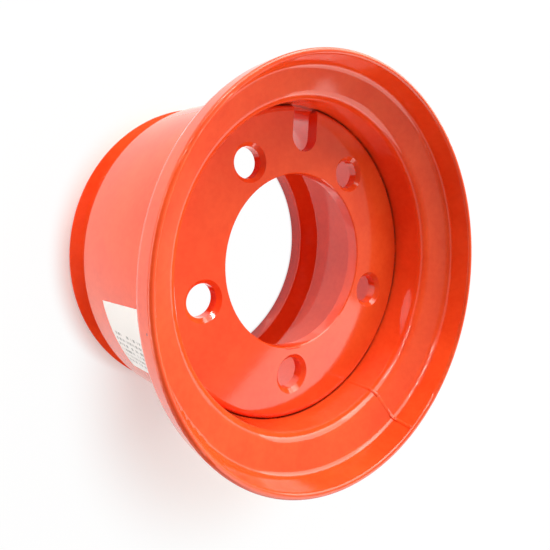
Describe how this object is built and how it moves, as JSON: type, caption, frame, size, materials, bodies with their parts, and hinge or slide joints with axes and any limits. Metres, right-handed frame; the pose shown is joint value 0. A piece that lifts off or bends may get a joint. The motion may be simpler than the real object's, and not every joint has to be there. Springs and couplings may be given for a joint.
{
  "type": "forklift wheel rim",
  "caption": "Painted steel forklift wheel rim: a flat disc with hub bore, bolt holes and valve slot, welded into a barrel with a curled front flange and a rear gutter groove.",
  "frame": {"origin": "centre of the hub bore, on the disc's rear face, where the hub seats", "axes": "+Z along the wheel axis, towards the dished front side; +Y towards the valve slot"},
  "size_m": [0.296, 0.296, 0.188],
  "materials": {
    "painted_steel": "gloss orange-red paint",
    "label_paper": "white paper sticker"
  },
  "bodies": {
    "root": {"rim_base": "painted_steel", "wheel_disc": "painted_steel", "disc_weld": "painted_steel", "label": "label_paper"}
  },
  "joints": []
}
